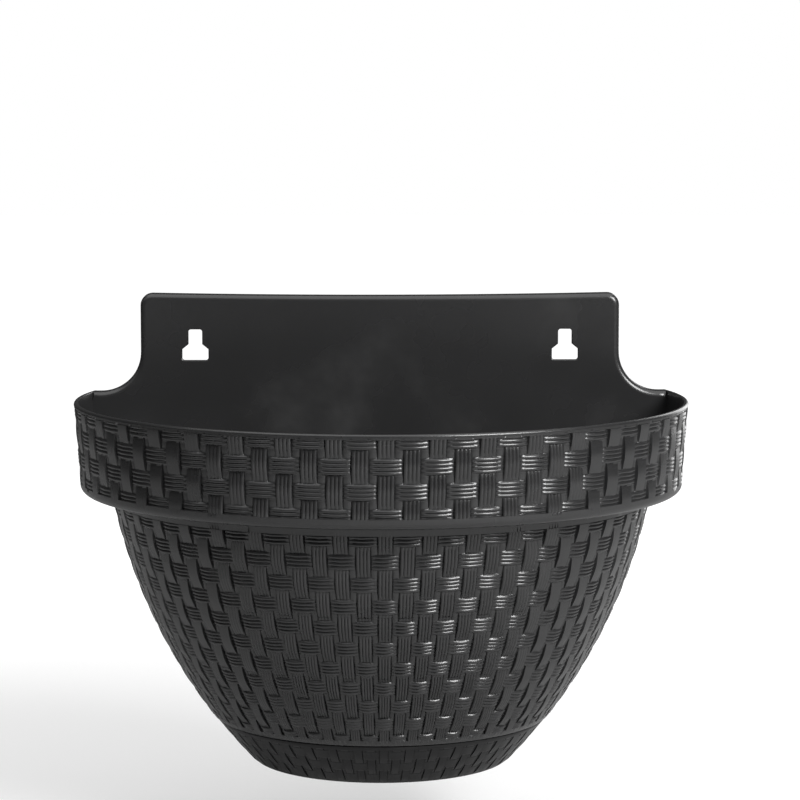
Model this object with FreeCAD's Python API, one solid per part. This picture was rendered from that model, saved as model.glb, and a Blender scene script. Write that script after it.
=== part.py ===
import FreeCAD, Part
import math
import os

Vector = FreeCAD.Vector

# Half-round wall planter with a push-on drip tray. Millimetres, +Z up, the front faces -Y.
# The origin is on the wall, midway between the two hanging screws when they sit in the keyholes.
# Heights in the values below are measured from the top of the rim, and are negative downwards.

# The round: a body of revolution, cut off by the wall behind its axis.
RIM_RADIUS = 150.0
AXIS_TO_WALL = 41.0
WALL = 2.2
RIM_EDGE = 0.7
FULL_CUT = 400.0

# The wide band under the rim, which leans in a little and rolls under to a ledge.
BAND_DEPTH = 43.5
BAND_TAPER = 2.8
BAND_ROLL = 3.6
LEDGE_WIDTH = 14.8
LEDGE_EDGE = 1.2

# The round body under the ledge, one arc from the ledge down to the base of the tray.
BODY_DEPTH = 177.7
BODY_BASE_RADIUS = 63.6
BODY_ARC_RADIUS = 266.0

# The back wall and the plate that rises from it.
PLATE_FRONT = 7.6
PLATE_RISE = 49.2
PLATE_SHOULDER = 24.6
PLATE_CORNER = 6.0
PLATE_SWEEP = 20.0
PLATE_SAG = 1.2
PLATE_EDGE_ROUND = 2.0
PLATE_FOOT = 6.0

# Keyholes: a neck for the screw's shank over a head opening that the screw's head passes.
KEYHOLE_INSET = 27.3
KEYHOLE_TOP = 31.2
KEYHOLE_HEIGHT = 15.4
NECK_WIDTH = 6.8
NECK_HEIGHT = 7.4
HEAD_WIDTH = 13.0
HEAD_SHOULDER = 2.5
KEYHOLE_CORNER = 1.2
SCREW_RADIUS = 2.5

# The seam between pot and tray, and the tray.
TRAY_HEIGHT = 21.6
SEAM_GAP = 0.7
SKIRT_EDGE = 0.7
TRAY_WALL = 2.0
TRAY_SETBACK = 0.5
TRAY_FLOOR = 2.0
TRAY_BASE_EDGE = 1.4
FOOT_WIDTH = 7.0
FOOT_DEPTH = 0.8
FIT_GAP = 0.3

# The pot's floor, its drain holes and its three sockets, and the tray's pegs.
FLOOR = 2.2
WATER_SPACE = 8.0
FLOOR_EDGE = 3.0
DRAIN_RADIUS = 2.5
DRAIN_COUNT = 6
DRAIN_INSET = 29.6
PEG_RADIUS = 3.0
PEG_HEIGHT = 6.2
PEG_TIP = 0.8
PEG_RUNNING_GAP = 0.2
SOCKET_WALL = 1.8
SOCKET_COUNT = 3
SOCKET_INSET = 19.6

# Worked out from the sizes above.
SEAT_HEIGHT = KEYHOLE_TOP - SCREW_RADIUS
BODY_TOP_RADIUS = RIM_RADIUS - BAND_TAPER - LEDGE_WIDTH
RIM_HALF_CHORD = math.sqrt(RIM_RADIUS ** 2 - AXIS_TO_WALL ** 2)
PLATE_HALF_WIDTH = RIM_HALF_CHORD - PLATE_SHOULDER
PLATE_BACK = PLATE_FRONT - WALL
KEYHOLE_PLACES = (KEYHOLE_INSET - PLATE_HALF_WIDTH, PLATE_HALF_WIDTH - KEYHOLE_INSET)
TRAY_TOP = -BODY_DEPTH + TRAY_HEIGHT
SEAM_DEPTH = -TRAY_TOP - SEAM_GAP
TRAY_FLOOR_TOP = -BODY_DEPTH + TRAY_FLOOR
POT_FLOOR_UNDER = TRAY_FLOOR_TOP + WATER_SPACE
POT_FLOOR_TOP = POT_FLOOR_UNDER + FLOOR
TRAY_INNER_INSET = TRAY_SETBACK + TRAY_WALL
SPIGOT_INSET = TRAY_INNER_INSET + FIT_GAP
SOCKET_BORE = PEG_RADIUS + PEG_RUNNING_GAP
SOCKET_RADIUS = SOCKET_BORE + SOCKET_WALL
UP = Vector(0, 0, 1)


def arc_centre(start, end, radius):
    """Centre, on the axis side, of the arc of the given radius from start down to end."""
    chord = end - start
    middle = (start + end) * 0.5
    across = Vector(chord.z, 0, -chord.x).normalize()
    return middle + across * math.sqrt(radius ** 2 - (chord.Length / 2) ** 2)


BODY_CENTRE = arc_centre(
    Vector(BODY_TOP_RADIUS, 0, -BAND_DEPTH), Vector(BODY_BASE_RADIUS, 0, -BODY_DEPTH), BODY_ARC_RADIUS
)


def body_point(height, inset=0.0):
    """Point of the body's arc at a height, the arc drawn in by inset square to itself."""
    radius = BODY_ARC_RADIUS - inset
    reach = math.sqrt(radius ** 2 - (height - BODY_CENTRE.z) ** 2)
    return Vector(BODY_CENTRE.x + reach, 0, height)


def body_arc(top, bottom, inset=0.0):
    """Middle and end of the body's arc between two heights, for path()."""
    return body_point((top + bottom) / 2, inset), body_point(bottom, inset)


def fit_point(height, inset):
    """Point of the push fit's straight cone at a height, the cone drawn in by inset square to itself.

    The cone joins the ends of the body's arc at the tray's rim and at its base.
    """
    high = body_point(TRAY_TOP)
    low = body_point(-BODY_DEPTH)
    slope = (high.x - low.x) / (high.z - low.z)
    reach = (height - low.z) * slope - inset * math.sqrt(1 + slope ** 2)
    return Vector(low.x + reach, 0, height)


def quarter(centre, radius, start):
    """Middle and end of a quarter circle that starts at an angle in degrees, for path().

    Angles are taken from +X towards +Z. The quarter turns back by 90 degrees, clockwise.
    """
    ends = []
    for degrees in (start - 45, start - 90):
        angle = math.radians(degrees)
        ends.append(centre + Vector(math.cos(angle), 0, math.sin(angle)) * radius)
    return tuple(ends)


def path(steps):
    """Closed wire through the steps: a point ends a line, a pair is an arc's middle and end."""
    edges = []
    here = steps[0]
    for step in steps[1:] + [steps[0]]:
        if isinstance(step, tuple):
            edges.append(Part.Arc(here, step[0], step[1]).toShape())
            here = step[1]
        else:
            edges.append(Part.LineSegment(here, step).toShape())
            here = step
    return Part.Wire(edges)


def turned(steps):
    """Solid of revolution of a half section, radius in x and height in z, about the round's axis.

    The seam of the turning lies towards the wall, where the round is cut away.
    """
    section = Part.Face(path(steps))
    solid = section.revolve(Vector(0, 0, 0), UP, 360)
    solid.rotate(Vector(0, 0, 0), UP, 90)
    solid.translate(Vector(0, -AXIS_TO_WALL, 0))
    return solid


def slab(front, back):
    """Upright slab, wider and taller than the planter, between two distances from the wall."""
    corner = Vector(-FULL_CUT, -front, -FULL_CUT)
    return Part.makeBox(2 * FULL_CUT, front - back, 2 * FULL_CUT, corner)


def in_front_of(distance):
    """Everything further from the wall than a distance."""
    return slab(FULL_CUT, distance)


def rounded(solid, radius, chosen):
    """Solid with a fillet on each edge for which chosen(edge) is true."""
    return solid.makeFillet(radius, [edge for edge in solid.Edges if chosen(edge)])


def pot_outside():
    """Rim, band, ledge and body down to the seam, solid."""
    band_low = RIM_RADIUS - BAND_TAPER
    roll_centre = Vector(band_low - BAND_ROLL, 0, -BAND_DEPTH + BAND_ROLL)
    skirt_top = -SEAM_DEPTH + SKIRT_EDGE
    return turned([
        Vector(0, 0, 0),
        Vector(RIM_RADIUS - RIM_EDGE, 0, 0),
        Vector(RIM_RADIUS, 0, -RIM_EDGE),
        Vector(band_low, 0, roll_centre.z),
        quarter(roll_centre, BAND_ROLL, 0),
        body_point(-BAND_DEPTH),
        body_arc(-BAND_DEPTH, skirt_top),
        Vector(body_point(-SEAM_DEPTH).x - SKIRT_EDGE, 0, -SEAM_DEPTH),
        Vector(0, 0, -SEAM_DEPTH),
    ])


def pot_inside():
    """The hollow of the pot: the outside drawn in by the wall, stepped in again at the seam.

    Above the rim it runs straight on, past the top of the plate.
    """
    band_inner = RIM_RADIUS - BAND_TAPER - WALL
    ledge = -BAND_DEPTH + WALL
    shelf = -SEAM_DEPTH + WALL
    spigot_inner = SPIGOT_INSET + WALL
    roll = BAND_ROLL - WALL
    floor_corner = fit_point(POT_FLOOR_TOP, spigot_inner)
    return turned([
        Vector(0, 0, FULL_CUT),
        Vector(RIM_RADIUS - WALL, 0, FULL_CUT),
        Vector(RIM_RADIUS - WALL, 0, -RIM_EDGE),
        Vector(band_inner, 0, ledge + roll),
        Vector(band_inner - roll, 0, ledge),
        body_point(ledge, WALL) + Vector(LEDGE_EDGE, 0, 0),
        body_point(ledge - LEDGE_EDGE, WALL),
        body_arc(ledge - LEDGE_EDGE, shelf, WALL),
        fit_point(shelf, spigot_inner),
        fit_point(POT_FLOOR_TOP + FLOOR_EDGE, spigot_inner),
        floor_corner - Vector(FLOOR_EDGE, 0, 0),
        Vector(0, 0, POT_FLOOR_TOP),
    ])


def rim_flare():
    """The inner edge of the rim, taken off all round at the pot's mouth."""
    inner = RIM_RADIUS - WALL
    return turned([
        Vector(inner - WALL, 0, RIM_EDGE),
        Vector(inner + 2 * RIM_EDGE, 0, RIM_EDGE),
        Vector(inner, 0, -RIM_EDGE),
        Vector(inner - WALL, 0, -RIM_EDGE),
    ])


def spigot_outside():
    """The part of the pot that goes down into the tray, solid."""
    top = -SEAM_DEPTH + WALL / 2
    floor_corner = fit_point(POT_FLOOR_UNDER, SPIGOT_INSET)
    return turned([
        Vector(0, 0, top),
        fit_point(top, SPIGOT_INSET),
        fit_point(POT_FLOOR_UNDER + FLOOR_EDGE, SPIGOT_INSET),
        floor_corner - Vector(FLOOR_EDGE, 0, 0),
        Vector(0, 0, POT_FLOOR_UNDER),
    ])


def plate_blank(front, back, inset):
    """Upright plate between two distances from the wall, its outline drawn in by inset.

    The top corners are round, the sides sweep out below in a hollow quarter circle to the
    shoulders level with the rim, and the top edge sags a little in the middle.
    """
    side = PLATE_HALF_WIDTH - inset
    top = PLATE_RISE - inset
    corner_x = PLATE_HALF_WIDTH - PLATE_CORNER
    corner_z = PLATE_RISE - PLATE_CORNER
    sweep_centre = Vector(PLATE_HALF_WIDTH + PLATE_SWEEP, 0, PLATE_SWEEP)
    sweep = PLATE_SWEEP + inset
    half = math.sqrt(0.5)
    corner_middle = (PLATE_CORNER - inset) * half

    def flip(point):
        return Vector(-point.x, 0, point.z)

    shoulder = Vector(RIM_RADIUS, 0, -inset)
    foot = Vector(RIM_RADIUS, 0, -PLATE_FOOT)
    sweep_low = Vector(sweep_centre.x, 0, -inset)
    sweep_middle = sweep_centre - Vector(sweep * half, 0, sweep * half)
    sweep_high = Vector(side, 0, PLATE_SWEEP)
    corner_low = Vector(side, 0, corner_z)
    corner_mid = Vector(corner_x + corner_middle, 0, corner_z + corner_middle)
    corner_high = Vector(corner_x, 0, top)
    face = Part.Face(path([
        foot,
        shoulder,
        sweep_low,
        (sweep_middle, sweep_high),
        corner_low,
        (corner_mid, corner_high),
        (Vector(0, 0, top - PLATE_SAG), flip(corner_high)),
        (flip(corner_mid), flip(corner_low)),
        flip(sweep_high),
        (flip(sweep_middle), flip(sweep_low)),
        flip(shoulder),
        flip(foot),
    ]))
    solid = face.extrude(Vector(0, front - back, 0))
    solid.translate(Vector(0, -front, 0))
    return solid


def front_edge_of_plate(edge):
    """True for the plate's front edge above its foot, all but the straight ends of its sides."""
    box = edge.BoundBox
    in_front_face = box.YMax < -PLATE_FRONT + 0.01
    return in_front_face and box.ZMin > -0.01


def round_core(radius, low):
    """Upright cylinder about the round's axis, from a height up past the plate."""
    return turned([Vector(0, 0, low), Vector(radius, 0, low), Vector(radius, 0, FULL_CUT), Vector(0, 0, FULL_CUT)])


def back_plate():
    """The raised plate with its round front edge, its foot let into the rim's wall."""
    plate = rounded(plate_blank(PLATE_FRONT, 0.0, 0.0), PLATE_EDGE_ROUND, front_edge_of_plate)
    return plate.common(round_core(RIM_RADIUS - WALL / 2, -PLATE_FOOT))


def back_recess():
    """The hollow behind the back wall and the plate, open to the wall, inside the edge flange."""
    low_height = SEAM_DEPTH - 2 * WALL
    low = Part.makeBox(2 * FULL_CUT, PLATE_BACK, low_height, Vector(-FULL_CUT, -PLATE_BACK, -low_height - WALL))
    high = plate_blank(PLATE_BACK, 0.0, WALL)
    return low.fuse(high).common(pot_inside())


def keyhole(x):
    """Cutter for one keyhole: a neck with round top corners, sloping shoulders and a wide head."""
    neck = NECK_WIDTH / 2
    head = HEAD_WIDTH / 2
    top = KEYHOLE_TOP
    bottom = KEYHOLE_TOP - KEYHOLE_HEIGHT
    neck_end = top - NECK_HEIGHT
    shoulder_end = neck_end - HEAD_SHOULDER
    r = KEYHOLE_CORNER
    wire = path([
        Vector(-neck, 0, neck_end),
        Vector(-neck, 0, top - r),
        quarter(Vector(-neck + r, 0, top - r), r, 180),
        Vector(neck - r, 0, top),
        quarter(Vector(neck - r, 0, top - r), r, 90),
        Vector(neck, 0, neck_end),
        Vector(head, 0, shoulder_end),
        Vector(head, 0, bottom + r),
        quarter(Vector(head - r, 0, bottom + r), r, 0),
        Vector(-head + r, 0, bottom),
        quarter(Vector(-head + r, 0, bottom + r), r, -90),
        Vector(-head, 0, shoulder_end),
    ])
    cutter = Part.Face(wire).extrude(Vector(0, 2 * PLATE_FRONT, 0))
    cutter.translate(Vector(x, -1.5 * PLATE_FRONT, 0))
    return cutter


def ring(radius, count, start):
    """Centres (x, y) of count places spread evenly about the round's axis, from an angle in degrees."""
    places = []
    for turn in range(count):
        angle = math.radians(start) + 2 * math.pi * turn / count
        places.append((radius * math.cos(angle), radius * math.sin(angle) - AXIS_TO_WALL))
    return places


def drain_places():
    """Centres of the drain holes: one on the round's axis, and those of a ring that miss the wall."""
    nearest = -PLATE_FRONT - FLOOR_EDGE - DRAIN_RADIUS
    about = ring(BODY_BASE_RADIUS - DRAIN_INSET, DRAIN_COUNT, 0)
    return [(0.0, -AXIS_TO_WALL)] + [place for place in about if place[1] < nearest]


def socket_places():
    """Centres of the sockets and their pegs, the first one at the front."""
    return ring(BODY_BASE_RADIUS - SOCKET_INSET, SOCKET_COUNT, -90)


def planter_pot():
    """The pot as one moulding."""
    pot = pot_outside().common(in_front_of(0.0))
    pot = pot.fuse(spigot_outside().common(in_front_of(PLATE_BACK)))
    socket_end = TRAY_FLOOR_TOP + FIT_GAP
    socket_length = POT_FLOOR_UNDER + FLOOR / 2 - socket_end
    for x, y in socket_places():
        pot = pot.fuse(Part.makeCylinder(SOCKET_RADIUS, socket_length, Vector(x, y, socket_end)))
    pot = pot.cut(pot_inside().common(in_front_of(PLATE_FRONT)))
    pot = pot.cut(rim_flare().common(in_front_of(0.0)))
    pot = pot.cut(round_core(RIM_RADIUS - WALL, -PLATE_FOOT + WALL / 2).common(in_front_of(0.0)))
    pot = pot.fuse(back_plate())
    pot = pot.cut(back_recess())
    bore_depth = PEG_HEIGHT - FIT_GAP + PEG_TIP
    for x, y in socket_places():
        pot = pot.cut(Part.makeCylinder(SOCKET_BORE, bore_depth, Vector(x, y, socket_end)))
    for x, y in drain_places():
        low = Vector(x, y, POT_FLOOR_UNDER - FLOOR)
        pot = pot.cut(Part.makeCylinder(DRAIN_RADIUS, 3 * FLOOR, low))
    for x in KEYHOLE_PLACES:
        pot = pot.cut(keyhole(x))
    return pot.removeSplitter()


def drip_tray():
    """The tray: a half-round dish with a flat back, a foot rim and three pegs."""
    base = -BODY_DEPTH
    rim = body_point(TRAY_TOP, TRAY_SETBACK)
    heel = body_point(base, TRAY_SETBACK)
    inner_top = TRAY_TOP + TRAY_WALL
    outside = turned([
        Vector(0, 0, TRAY_TOP),
        rim - Vector(SKIRT_EDGE, 0, 0),
        body_point(TRAY_TOP - SKIRT_EDGE, TRAY_SETBACK),
        body_arc(TRAY_TOP - SKIRT_EDGE, base + TRAY_BASE_EDGE, TRAY_SETBACK),
        heel - Vector(TRAY_BASE_EDGE, 0, 0),
        Vector(0, 0, base),
    ])
    inside = turned([
        Vector(0, 0, inner_top),
        fit_point(inner_top, TRAY_INNER_INSET),
        fit_point(TRAY_FLOOR_TOP, TRAY_INNER_INSET),
        Vector(0, 0, TRAY_FLOOR_TOP),
    ])
    foot_radius = heel.x - FOOT_WIDTH
    foot_hollow = Part.makeCylinder(foot_radius, FOOT_DEPTH, Vector(0, -AXIS_TO_WALL, base))
    tray = outside.common(in_front_of(0.0))
    tray = tray.cut(inside.common(in_front_of(TRAY_WALL)))
    tray = tray.cut(foot_hollow.common(in_front_of(FOOT_WIDTH)))
    for x, y in socket_places():
        foot = Vector(x, y, TRAY_FLOOR_TOP - TRAY_FLOOR / 2)
        peg = Part.makeCylinder(PEG_RADIUS, PEG_HEIGHT + TRAY_FLOOR / 2, foot)
        tip_height = TRAY_FLOOR_TOP + PEG_HEIGHT
        peg = peg.makeChamfer(PEG_TIP, [e for e in peg.Edges if e.BoundBox.ZMin > tip_height - 0.01])
        tray = tray.fuse(peg)
    return tray.removeSplitter()


def write(node, shape):
    """Put the origin at the screw seats and export one node."""
    shape.translate(Vector(0, 0, -SEAT_HEIGHT))
    print(node, "valid", shape.isValid(), "solids", len(shape.Solids), "volume", round(shape.Volume))
    shape.exportStep("parts/" + node + ".step")


os.makedirs("parts", exist_ok=True)
write("planter_pot", planter_pot())
write("drip_tray", drip_tray())
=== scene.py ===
"""Half-round wall planter: a basket-weave pot with a raised back plate and a push-on drip tray."""

import math

import bmesh
import bpy
import numpy as np
from bpy.props import FloatProperty, FloatVectorProperty, IntProperty, PointerProperty
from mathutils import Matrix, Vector
from mathutils.geometry import tessellate_polygon


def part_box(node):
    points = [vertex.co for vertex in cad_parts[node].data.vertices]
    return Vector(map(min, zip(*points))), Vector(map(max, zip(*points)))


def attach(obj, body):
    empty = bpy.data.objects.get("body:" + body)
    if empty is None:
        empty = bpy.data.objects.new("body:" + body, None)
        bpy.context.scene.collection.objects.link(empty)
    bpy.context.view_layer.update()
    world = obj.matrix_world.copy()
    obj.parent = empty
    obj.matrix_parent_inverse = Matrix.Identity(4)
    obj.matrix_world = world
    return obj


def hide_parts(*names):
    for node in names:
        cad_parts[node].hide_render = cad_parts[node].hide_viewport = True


bl_info = {
    "name": "Wall planter",
    "version": (1, 0, 0),
    "blender": (4, 5, 0),
    "location": "3D View > Sidebar > Planter",
    "description": "Makes a half-round basket-weave wall planter with its drip tray",
    "category": "Object",
}

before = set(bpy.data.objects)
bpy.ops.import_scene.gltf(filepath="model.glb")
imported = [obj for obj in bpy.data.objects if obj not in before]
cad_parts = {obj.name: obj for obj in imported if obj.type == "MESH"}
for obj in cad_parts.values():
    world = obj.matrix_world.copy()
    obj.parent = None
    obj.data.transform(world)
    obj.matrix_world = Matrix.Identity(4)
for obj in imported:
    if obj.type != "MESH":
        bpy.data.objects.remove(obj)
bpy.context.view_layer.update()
POT_LOW, POT_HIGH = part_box("planter_pot")
TRAY_LOW, TRAY_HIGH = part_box("drip_tray")
MM = 0.001
TINY = 1e-6

# The round, in millimetres: heights are measured from the rim and are negative downwards.
RIM_RADIUS = POT_HIGH.x / MM
AXIS_TO_WALL = -POT_LOW.y / MM - RIM_RADIUS
PLATE_RISE = 49.2
RIM_HEIGHT = POT_HIGH.z / MM - PLATE_RISE
WALL = 2.2
BAND_DRAFT = 2.8
BAND_LOW_RADIUS = RIM_RADIUS - BAND_DRAFT
BAND_ROLL = 3.6
RIM_ROUND = 1.2
RIM_INNER_ROUND = 0.5
INNER_TOP = -4.9
LEDGE_HEIGHT = -43.5
LEDGE_INNER = 132.4
ROLL_HEIGHT = LEDGE_HEIGHT + BAND_ROLL
BODY_ARC_RADIUS = 266.0
BASE_RADIUS = 63.6
BASE_HEIGHT = TRAY_LOW.z / MM - RIM_HEIGHT
TRAY_TOP = TRAY_HIGH.z / MM - RIM_HEIGHT
SEAM_GAP = 0.7
SEAM_HEIGHT = TRAY_TOP + SEAM_GAP

# The back wall and the plate, measured from the wall.
PLATE_FRONT = 7.6
PLATE_BACK = PLATE_FRONT - WALL
PLATE_SHOULDER = 24.6
PLATE_HALF_WIDTH = math.sqrt(RIM_RADIUS ** 2 - AXIS_TO_WALL ** 2) - PLATE_SHOULDER
PLATE_CORNER = 6.0
PLATE_SWEEP = 20.0
PLATE_SAG = 1.2
PLATE_EDGE = 2.8
PLATE_BORDER = 0.6
BACK_CHAMFER = 0.3
BACK_TOP = -6.0
LEDGE_HOLD = 1.6
KEYHOLE_X = PLATE_HALF_WIDTH - 27.3
KEYHOLE_TOP = 31.2
KEYHOLE_HEIGHT = 15.4
NECK_HALF = 3.4
NECK_HEIGHT = 7.4
HEAD_HALF = 6.5
HEAD_SHOULDER = 2.5
KEYHOLE_CORNER = 1.2
# The keyhole's front edge, in steps: how far behind the plate's front, and how far outwards.
KEYHOLE_EDGE = ((0.4, 0.0), (0.12, 0.12), (0.0, 0.4), (0.0, 1.2))

# The push fit, the pot's floor, its drain holes and sockets, and the tray's pegs.
TRAY_INSET = 0.5
TRAY_WALL = 2.0
TRAY_INNER_INSET = TRAY_INSET + TRAY_WALL
TRAY_FLOOR_TOP = BASE_HEIGHT + TRAY_WALL
SPIGOT_CLEARANCE = 0.3
SPIGOT_INSET = TRAY_INNER_INSET + SPIGOT_CLEARANCE
WATER_DEPTH = 8.0
FLOOR_UNDER = TRAY_FLOOR_TOP + WATER_DEPTH
FLOOR_TOP = FLOOR_UNDER + WALL
FLOOR_EDGE = 3.0
FLOOR_SHORT = 0.4
DRAIN_RADIUS = 2.5
DRAIN_RING = BASE_RADIUS - 29.6
SOCKET_RING = BASE_RADIUS - 19.6
SOCKET_BORE = 3.2
SOCKET_OUTSIDE = 5.0
SOCKET_DEPTH = 6.7
PEG_RADIUS = 3.0
PEG_HEIGHT = 6.2
PEG_TOP = TRAY_FLOOR_TOP + PEG_HEIGHT
PEG_CHAMFER = 0.8
# The tray's foot rim, its round heel, and the bevel of its inner corner, across and up.
FOOT_WIDTH = 7.0
FOOT_DEPTH = 0.8
HEEL_ROUND = 2.0
HEEL_INSET = 1.5
HEEL_FLAT = 2.2
TRAY_CORNER = (0.9, 0.8)

# Where the grids are divided: shares of one rod, shares of one pitch, and columns past the weave.
UPRIGHT_ROD = (0.0, 0.2, 0.5, 0.8)
PLAIN_ROD = (0.0,)
LEVEL_ROD = (0.0, 0.12, 0.3, 0.6, 0.85)
EDGE_STEP = 0.02
SLIT_STEP = 0.075
LEAST_STEP = 0.01
REST_COLUMNS = 10

# How the weave changes over the pot: angles in degrees from the front, depths below the rim.
UPRIGHT_GROOVE = 0.75
UPRIGHT_CREST = 0.5
ROD_FADE = 24.0
ROD_END = 42.0
SIDE_START = 35.0
SIDE_END = 80.0
SIDE_LOSS = 0.5
LOW_START = 122.0
LOW_END = 154.0
LOW_GROOVE = 0.6
TRAY_LEVEL_SHARE = 0.45

# How far round each part its woven columns go, in degrees from the front: just past the wall.
BAND_REACH = 110.0
BODY_REACH = 121.5
TRAY_REACH = 131.0
# The tray has no grooves, so its fine columns for rods end at once.
NO_RODS = 0.01

# Rows of the weave and the plain strips beside them, in millimetres, and the rows at which the
# body is split.
BAND_WEAVE_TOP = -2.6
BAND_WEAVE_LOW = -38.4
BAND_FIRST_ROW = 3.4
BAND_LIP_DEPTH = 0.45
BAND_LIP_TOP = -1.5
BODY_FIRST_ROW = 6.8
BODY_SPLIT_ROWS = (3.5, 6.5)
COLLAR_END = -48.6
COLLAR_DEPTH = 0.25
BODY_WEAVE_END = -152.6
BODY_LIP_DEPTH = 0.2
TRAY_WEAVE_START = -158.2
TRAY_WEAVE_END = -175.4
TRAY_LIP_DEPTH = 0.05
STRIP = 0.1

# Mesh clean-up: merging distance in metres, sharp edges, and what counts as square to an axis.
MERGE_DISTANCE = 2e-6
SHARP_DEGREES = 50.0
SQUARE = 0.9999999

# How far the parts of the one moulding lap into each other, in millimetres.
LAP = 1.0
INNER_LAP = 0.35
RING_LAP = 0.8
SHELF_LAP = 0.2
# The smallest step, which keeps two faces out of one plane.
SKIN = 0.02

# Finish: the pot's and the tray's gloss, and how much rougher the tray is.
POT_SPECULAR = 0.6
TRAY_SPECULAR = 0.3
TRAY_ROUGHER = 0.04

# The stage. Each lamp is a name, azimuth and elevation in degrees, distance, width and height in
# metres, and watts. The gap keeps the floor clear of the pulled-off tray.
LAMPS = (
    ("key", 42.0, 30.0, 1.6, 0.75, 0.70, 33.0),
    ("back", 148.0, 12.0, 1.7, 0.7, 1.0, 6.0),
    ("top", 0.0, 80.0, 1.3, 1.9, 1.9, 17.0),
    ("fill", -75.0, 42.0, 1.6, 1.0, 1.0, 1.5),
)
AMBIENT = 0.06
FLOOR_GAP = 0.034
FLOOR_SIZE = 6.0
FLOOR_GREY = 0.5
FLOOR_GLOW = (0.5, 1.0)
GLOW_REACH = (0.3, 1.0)


# -------- shapes in section

def arc_centre():
    """Centre of the body's arc, on the axis side: the chord's middle moved square to the chord."""
    top = np.array([LEDGE_INNER, LEDGE_HEIGHT])
    base = np.array([BASE_RADIUS, BASE_HEIGHT])
    chord = base - top
    length = np.hypot(*chord)
    across = np.array([chord[1], -chord[0]]) / length
    return (top + base) / 2 + across * math.sqrt(BODY_ARC_RADIUS ** 2 - (length / 2) ** 2)


ARC_CENTRE = arc_centre()


def arc_points(heights, inset=0.0):
    """Points (radius, height) of the body's arc drawn in by inset.

    The radius is the centre's plus sqrt(R^2 - dz^2), with R the arc's radius less the inset.
    """
    heights = np.atleast_1d(np.asarray(heights, float))
    reach = np.sqrt((BODY_ARC_RADIUS - inset) ** 2 - (heights - ARC_CENTRE[1]) ** 2)
    return np.column_stack([ARC_CENTRE[0] + reach, heights])


def fit_points(heights, inset):
    """Points of the push fit's cone, drawn in by inset square to its side.

    The cone is the straight line between the arc's points at the tray's rim and base.
    """
    heights = np.atleast_1d(np.asarray(heights, float))
    high = arc_points(TRAY_TOP)[0]
    low = arc_points(BASE_HEIGHT)[0]
    slope = (high[0] - low[0]) / (high[1] - low[1])
    radius = low[0] + (heights - low[1]) * slope - inset * math.sqrt(1 + slope ** 2)
    return np.column_stack([radius, heights])


def arc_length(height):
    """Length along the body's arc from the ledge down to a height: radius times angle turned."""
    start = math.asin((LEDGE_HEIGHT - ARC_CENTRE[1]) / BODY_ARC_RADIUS)
    end = math.asin((height - ARC_CENTRE[1]) / BODY_ARC_RADIUS)
    return (start - end) * BODY_ARC_RADIUS


def height_at(length):
    """Height of the arc's point at a length from the ledge: a sine of the angle turned."""
    start = math.asin((LEDGE_HEIGHT - ARC_CENTRE[1]) / BODY_ARC_RADIUS)
    return ARC_CENTRE[1] + BODY_ARC_RADIUS * np.sin(start - np.asarray(length) / BODY_ARC_RADIUS)


def bend(centre, radius, start, end, count):
    """Points of a circular arc between two angles in degrees: centre + radius * (cos, sin)."""
    angle = np.radians(np.linspace(start, end, count))
    return np.array(centre) + radius * np.column_stack([np.cos(angle), np.sin(angle)])


# -------- the weave

def strand_samples(width, rods, samples):
    """Places within one pitch, -0.5 to 0.5, that catch each rod's crest, flanks and grooves."""
    rod = np.concatenate([(i + np.array(samples)) / rods for i in range(rods)])
    strand = np.append(rod, 1.0) * width - width / 2
    before = [-0.5, -width / 2 - SLIT_STEP, -width / 2 - EDGE_STEP]
    return np.concatenate([before, strand, [width / 2 + EDGE_STEP, width / 2 + SLIT_STEP]])


def weave_samples(start, end, width, rods, samples):
    """All grid places from start to end, in pitches, with both ends in."""
    whole = np.arange(math.floor(start) - 1, math.ceil(end) + 2)
    places = (whole[:, None] + strand_samples(width, rods, samples)[None, :]).ravel()
    inside = (places > start + LEAST_STEP) & (places < end - LEAST_STEP)
    return np.concatenate([[start], places[inside], [end]])


def rod_crest(place, width, rods, roundness, crest):
    """1 on a rod's crest and 0 in the groove beside it.

    A quarter sine goes up to the crest's share of the rod's width and another one down from it,
    both to the power of roundness.
    """
    share = np.mod(rods * (place / width + 0.5) + 1e-9, 1.0)
    rise = np.minimum(share / crest, (1 - share) / (1 - crest))
    return np.sin(np.pi / 2 * rise) ** roundness


def slit_beside(place, width):
    """1 at the foot of a strand's edge, falling evenly to 0 on its top and out on the ground."""
    beyond = np.abs(place) - width / 2
    far = (SLIT_STEP - beyond) / (SLIT_STEP - EDGE_STEP)
    return np.clip(np.minimum(beyond / EDGE_STEP, far), 0, 1)


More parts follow.
